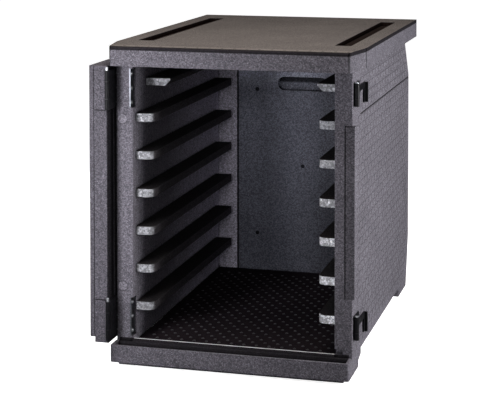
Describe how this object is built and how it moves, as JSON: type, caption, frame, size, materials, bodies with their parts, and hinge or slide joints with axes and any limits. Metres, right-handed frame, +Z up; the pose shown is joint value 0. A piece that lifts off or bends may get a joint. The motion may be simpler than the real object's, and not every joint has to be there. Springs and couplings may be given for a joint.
{
  "type": "insulated food carrier",
  "caption": "Front-loading insulated foam carrier with tray rails, a side-hinged door that folds back along the side, and swing latches.",
  "frame": {"origin": "middle of the base's underside, on the floor", "axes": "+X to the carrier's right, +Y to its back, +Z up"},
  "size_m": [0.598, 0.7803, 0.687],
  "materials": {
    "foam": "charcoal expanded foam, matt with fine bead speckle",
    "foam_top": "charcoal expanded foam, matt, embossed",
    "foam_rail": "grey speckled expanded foam, matt",
    "nylon": "black glass-filled nylon, satin gloss",
    "steel": "plated steel, satin"
  },
  "bodies": {
    "carrier": {"body_shell": "foam", "base": "foam", "top_slab": "foam_top", "rail_left_1": "foam_rail", "rail_left_2": "foam_rail", "rail_left_3": "foam_rail", "rail_left_4": "foam_rail", "rail_left_5": "foam_rail", "rail_left_6": "foam_rail", "rail_left_top": "foam_rail", "rail_right_1": "foam_rail", "rail_right_2": "foam_rail", "rail_right_3": "foam_rail", "rail_right_4": "foam_rail", "rail_right_5": "foam_rail", "rail_right_6": "foam_rail", "rail_right_top": "foam_rail", "hinge_top_body_leaf": "nylon", "hinge_top_pin": "steel", "hinge_top_backing_plate": "steel", "hinge_top_bolt_1": "steel", "hinge_top_bolt_2": "steel", "hinge_top_bolt_3": "steel", "latch_top_bracket": "nylon", "latch_top_pin": "steel", "latch_top_bracket_screw_1": "steel", "latch_top_bracket_screw_2": "steel", "hinge_bottom_body_leaf": "nylon", "hinge_bottom_pin": "steel", "hinge_bottom_backing_plate": "steel", "hinge_bottom_bolt_1": "steel", "hinge_bottom_bolt_2": "steel", "hinge_bottom_bolt_3": "steel", "latch_bottom_bracket": "nylon", "latch_bottom_pin": "steel", "latch_bottom_bracket_screw_1": "steel", "latch_bottom_bracket_screw_2": "steel"},
    "door": {"door_panel": "foam", "hinge_top_door_leaf": "nylon", "hinge_top_leaf_screw_1": "steel", "hinge_top_leaf_screw_2": "steel", "latch_top_catch": "nylon", "latch_top_catch_screw_1": "steel", "latch_top_catch_screw_2": "steel", "hinge_bottom_door_leaf": "nylon", "hinge_bottom_leaf_screw_1": "steel", "hinge_bottom_leaf_screw_2": "steel", "latch_bottom_catch": "nylon", "latch_bottom_catch_screw_1": "steel", "latch_bottom_catch_screw_2": "steel"},
    "lever_top": {"latch_top_lever": "nylon"},
    "lever_bottom": {"latch_bottom_lever": "nylon"}
  },
  "joints": [
    {"name": "door_swing", "type": "hinge", "parent": "carrier", "child": "door", "pos_m": [-0.264, -0.3898, 0], "axis": [0, 0, 1], "range_deg": [0, 270]},
    {"name": "latch_top_swing", "type": "hinge", "parent": "carrier", "child": "lever_top", "pos_m": [0.2665, -0.336, 0.594], "axis": [0, 0, -1], "range_deg": [0, 180]},
    {"name": "latch_bottom_swing", "type": "hinge", "parent": "carrier", "child": "lever_bottom", "pos_m": [0.2665, -0.336, 0.105], "axis": [0, 0, -1], "range_deg": [0, 180]}
  ]
}
